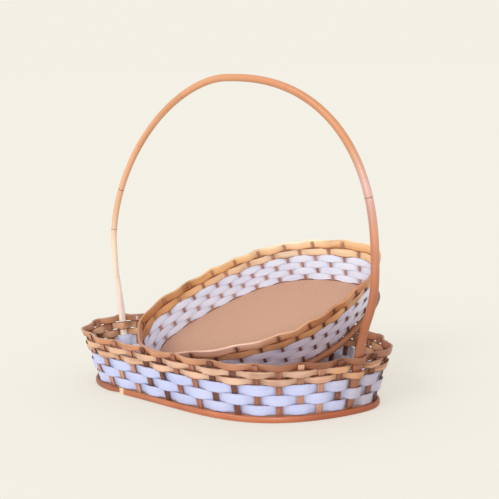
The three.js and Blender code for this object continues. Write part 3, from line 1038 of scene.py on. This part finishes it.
# The photograph's view and light

def make_camera():
    yaw = math.radians(CAMERA_YAW)
    elevation = math.radians(CAMERA_ELEVATION)
    back = Vector((
        math.sin(yaw) * math.cos(elevation),
        -math.cos(yaw) * math.cos(elevation),
        math.sin(elevation),
    ))
    data = bpy.data.cameras.new("photo_view")
    data.lens = CAMERA_LENS
    data.clip_start = NEAREST_SEEN
    data.clip_end = FARTHEST_SEEN
    camera = bpy.data.objects.new("photo_view", data)
    bpy.context.scene.collection.objects.link(camera)
    camera.location = (Vector(CAMERA_AIM) + back * CAMERA_DISTANCE) * MM
    roll = Quaternion((0, 0, 1), math.radians(CAMERA_ROLL))
    camera.rotation_mode = "QUATERNION"
    camera.rotation_quaternion = (-back).to_track_quat("-Z", "Y") @ roll
    bpy.context.scene.camera = camera


def add_sun(name, towards, strength, softness, colour=(1, 1, 1)):
    """Daylight from one side, given by the direction from the object to it."""
    data = bpy.data.lights.new(name, "SUN")
    data.energy = strength
    data.angle = math.radians(softness)
    data.color = colour
    lamp = bpy.data.objects.new(name, data)
    bpy.context.scene.collection.objects.link(lamp)
    lamp.rotation_mode = "QUATERNION"
    lamp.rotation_quaternion = (-Vector(towards)).to_track_quat("-Z", "Y")


FLOOR_COLOUR = srgb(236, 231, 219)
SKY_COLOUR = srgb(243, 240, 229)
SKY_LIGHT = (0.92, 0.96, 1, 1)
FLOOR_GLOW = 0.55


def make_floor():
    """A wide pale floor that mostly shows its own colour, and keeps a soft part of the
    shadow."""
    bpy.ops.object.select_all(action="DESELECT")
    bpy.ops.mesh.primitive_plane_add(size=FLOOR_SIZE, location=(0, 0, 0))
    floor = bpy.context.object
    floor.name = "floor"
    finish = new_finish("floor")
    matt = finish.node("ShaderNodeBsdfDiffuse", {}, {"Color": FLOOR_COLOUR})
    glow = finish.node("ShaderNodeEmission", {}, {"Color": FLOOR_COLOUR, "Strength": 1})
    both = finish.node("ShaderNodeMixShader", {}, {
        0: finish.seen() * FLOOR_GLOW,
        1: matt.outputs[0],
        2: glow.outputs[0],
    })
    finish.node("ShaderNodeOutputMaterial", {}, {"Surface": both.outputs[0]})
    paint(floor, finish.material)


def make_daylight():
    """Even light from a sky that is seen in nearly the floor's colour, and two soft suns."""
    world = bpy.data.worlds.new("daylight")
    bpy.context.scene.world = world
    daylight = Finish(world)
    light = daylight.node("ShaderNodeBackground", {}, {"Color": SKY_LIGHT, "Strength": 1})
    backdrop = daylight.node("ShaderNodeBackground", {}, {"Color": SKY_COLOUR, "Strength": 1})
    choice = daylight.node("ShaderNodeMixShader", {}, {
        0: daylight.seen(),
        1: light.outputs[0],
        2: backdrop.outputs[0],
    })
    daylight.node("ShaderNodeOutputWorld", {}, {"Surface": choice.outputs[0]})
    add_sun("window", towards=(-0.4, -1.0, 0.8), strength=0.85, softness=24,
            colour=(1, 0.995, 0.985))
    add_sun("fill", towards=(0.33, -1.0, 0.31), strength=1.0, softness=14)
    bpy.context.scene.view_settings.view_transform = "Standard"


# The whole set

make_camera()
make_floor()
make_daylight()

HARDBOARD = hardboard()
BASKET_FINISHES = {
    # Painted light and shade in the strips' tones, from the left tip: the front a shaded
    # bluish lilac, the right end darker, the back, seen from inside, lighter; part of the blue
    # is painted skylight.
    "strip": painted_strip("painted_strip", [
        (0.0, (196, 199, 226)),
        (0.1, (196, 201, 230)),
        (0.36, (196, 199, 226)),
        (0.405, (180, 170, 180)),
        (0.44, (180, 170, 180)),
        (0.48, (240, 242, 254)),
        (0.85, (240, 242, 254)),
        (0.93, (216, 216, 236)),
    ], srgb(140, 132, 160)),
    # Painted light and shade in the canes' tones, set place by place: lighter along the left
    # end and front, darker from the right end on.
    "cane": split_cane("split_cane", [
        (0.0, (222, 176, 138)),
        (0.1, (222, 180, 148)),
        (0.3, (218, 179, 154)),
        (0.36, (212, 170, 146)),
        (0.4, (200, 148, 110)),
        (0.5, (200, 152, 118)),
        (1.1, (218, 168, 130)),
    ]),
    # Painted light and shade in the rim's tones, set place by place: darkest at the right end.
    "rim": split_cane("rim_cane", [
        (0.0, (196, 144, 110)),
        (0.1, (208, 150, 112)),
        (0.22, (198, 144, 110)),
        (0.3, (180, 126, 96)),
        (0.36, (136, 80, 50)),
        (0.6, (180, 128, 98)),
        (1.1, (196, 144, 108)),
    ], is_rim=True),
    "dark_stake": stake_splint(
        "dark_splint", srgb(78, 42, 32), srgb(112, 66, 50), srgb(146, 92, 70)),
    "brown_stake": stake_splint(
        "brown_splint", srgb(112, 62, 44), srgb(152, 94, 70), srgb(182, 124, 98)),
    "light_stake": stake_splint(
        "light_splint", srgb(148, 98, 74), srgb(184, 130, 104), srgb(208, 158, 132)),
    "hoop": hoop_cane("hoop_cane", [
        (0.0, (184, 112, 74)),
        (0.06, (184, 108, 70)),
        (0.15, (206, 122, 82)),
        (0.22, (192, 108, 66)),
        (0.28, (164, 83, 44)),
        (0.45, (154, 77, 41)),
        (0.85, (164, 92, 58)),
        (0.93, (148, 82, 50)),
    ]),
    "board": HARDBOARD,
}
TRAY_FINISHES = {
    **BASKET_FINISHES,
    # Painted light and shade in the tray strips' tones: the front, in shade, darker and
    # greyer, the back brighter and bluer; the edge tone is painted shade between the rows.
    "strip": painted_strip("pale_painted_strip", [
        (0.0, (230, 228, 242)),
        (0.06, (222, 212, 222)),
        (0.28, (222, 209, 218)),
        (0.35, (230, 228, 242)),
        (0.4, (237, 242, 255)),
        (0.62, (237, 242, 255)),
        (0.72, (231, 235, 254)),
    ], srgb(156, 134, 134)),
    # Painted light and shade in the tray cane's tones: bright gold along the lit back, browner
    # along the front.
    "cane": split_cane("golden_cane", [
        (0.0, (206, 146, 94)),
        (0.08, (216, 162, 124)),
        (0.3, (222, 160, 102)),
        (0.38, (248, 206, 156)),
        (0.5, (255, 234, 204)),
        (0.66, (244, 188, 128)),
        (0.72, (206, 146, 94)),
    ]),
    # Painted light and shade in the tray rim's tones: lightened along the front left and the
    # back, browner at the front right.
    "rim": split_cane("golden_rim", [
        (0.0, (190, 130, 84)),
        (0.06, (226, 176, 152)),
        (0.16, (244, 200, 178)),
        (0.21, (222, 166, 126)),
        (0.26, (196, 132, 84)),
        (0.34, (200, 134, 84)),
        (0.4, (250, 204, 152)),
        (0.5, (255, 230, 194)),
        (0.6, (246, 200, 142)),
        (0.72, (190, 130, 82)),
    ], is_rim=True),
    "hoop": hoop_cane("brown_hoop_cane", [
        (0.0, (160, 100, 66)),
        (0.8, (160, 100, 66)),
    ]),
}


def make_basket(wall, stand, finishes):
    shape = wall.shape
    body = shape["name"]
    kinds = {}
    chance = random.Random(f"{body} stakes")
    bottom = shape["hoop"] + ROW_GAP
    for number, row in enumerate(shape["rows"]):
        kinds[weave_row(wall, stand, row, number, bottom)] = row["kind"]
        bottom += row["height"] + ROW_GAP
    kinds[bend_hoop(wall, stand)] = "hoop"
    start = max(wall.feet) + 1 if wall.feet else 0
    splints = 0
    step = 0
    while step < shape["stakes"]:
        first = (start + step) % shape["stakes"]
        is_single = (first + 1) % shape["stakes"] in wall.feet
        step += 1 if is_single or first in wall.feet else 2
        if first not in wall.feet:
            splints += 1
            node = f"{body}_stakes_{splints:02d}"
            tone = chance.choice(shape["stake_tones"])
            # Painted shade: the stakes listed as shaded, along the tray's front, take the dark
            # tone.
            tone = "dark" if first in shape["painted_shade_stakes"] else tone
            kinds[bend_stakes(wall, stand, node, first, is_single)] = f"{tone}_stake"
    for piece, kind in kinds.items():
        paint(piece, finishes[kind])
        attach(piece, body)
    paint(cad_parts[f"{body}_board"], finishes["board"])


basket_wall = Wall(BASKET, (RIGHT_FOOT, LEFT_FOOT))
make_basket(basket_wall, standing, BASKET_FINISHES)
make_basket(Wall(TRAY), leaning, TRAY_FINISHES)
rod = bend_handle(basket_wall)
paint(rod, handle_rattan())
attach(rod, "basket")
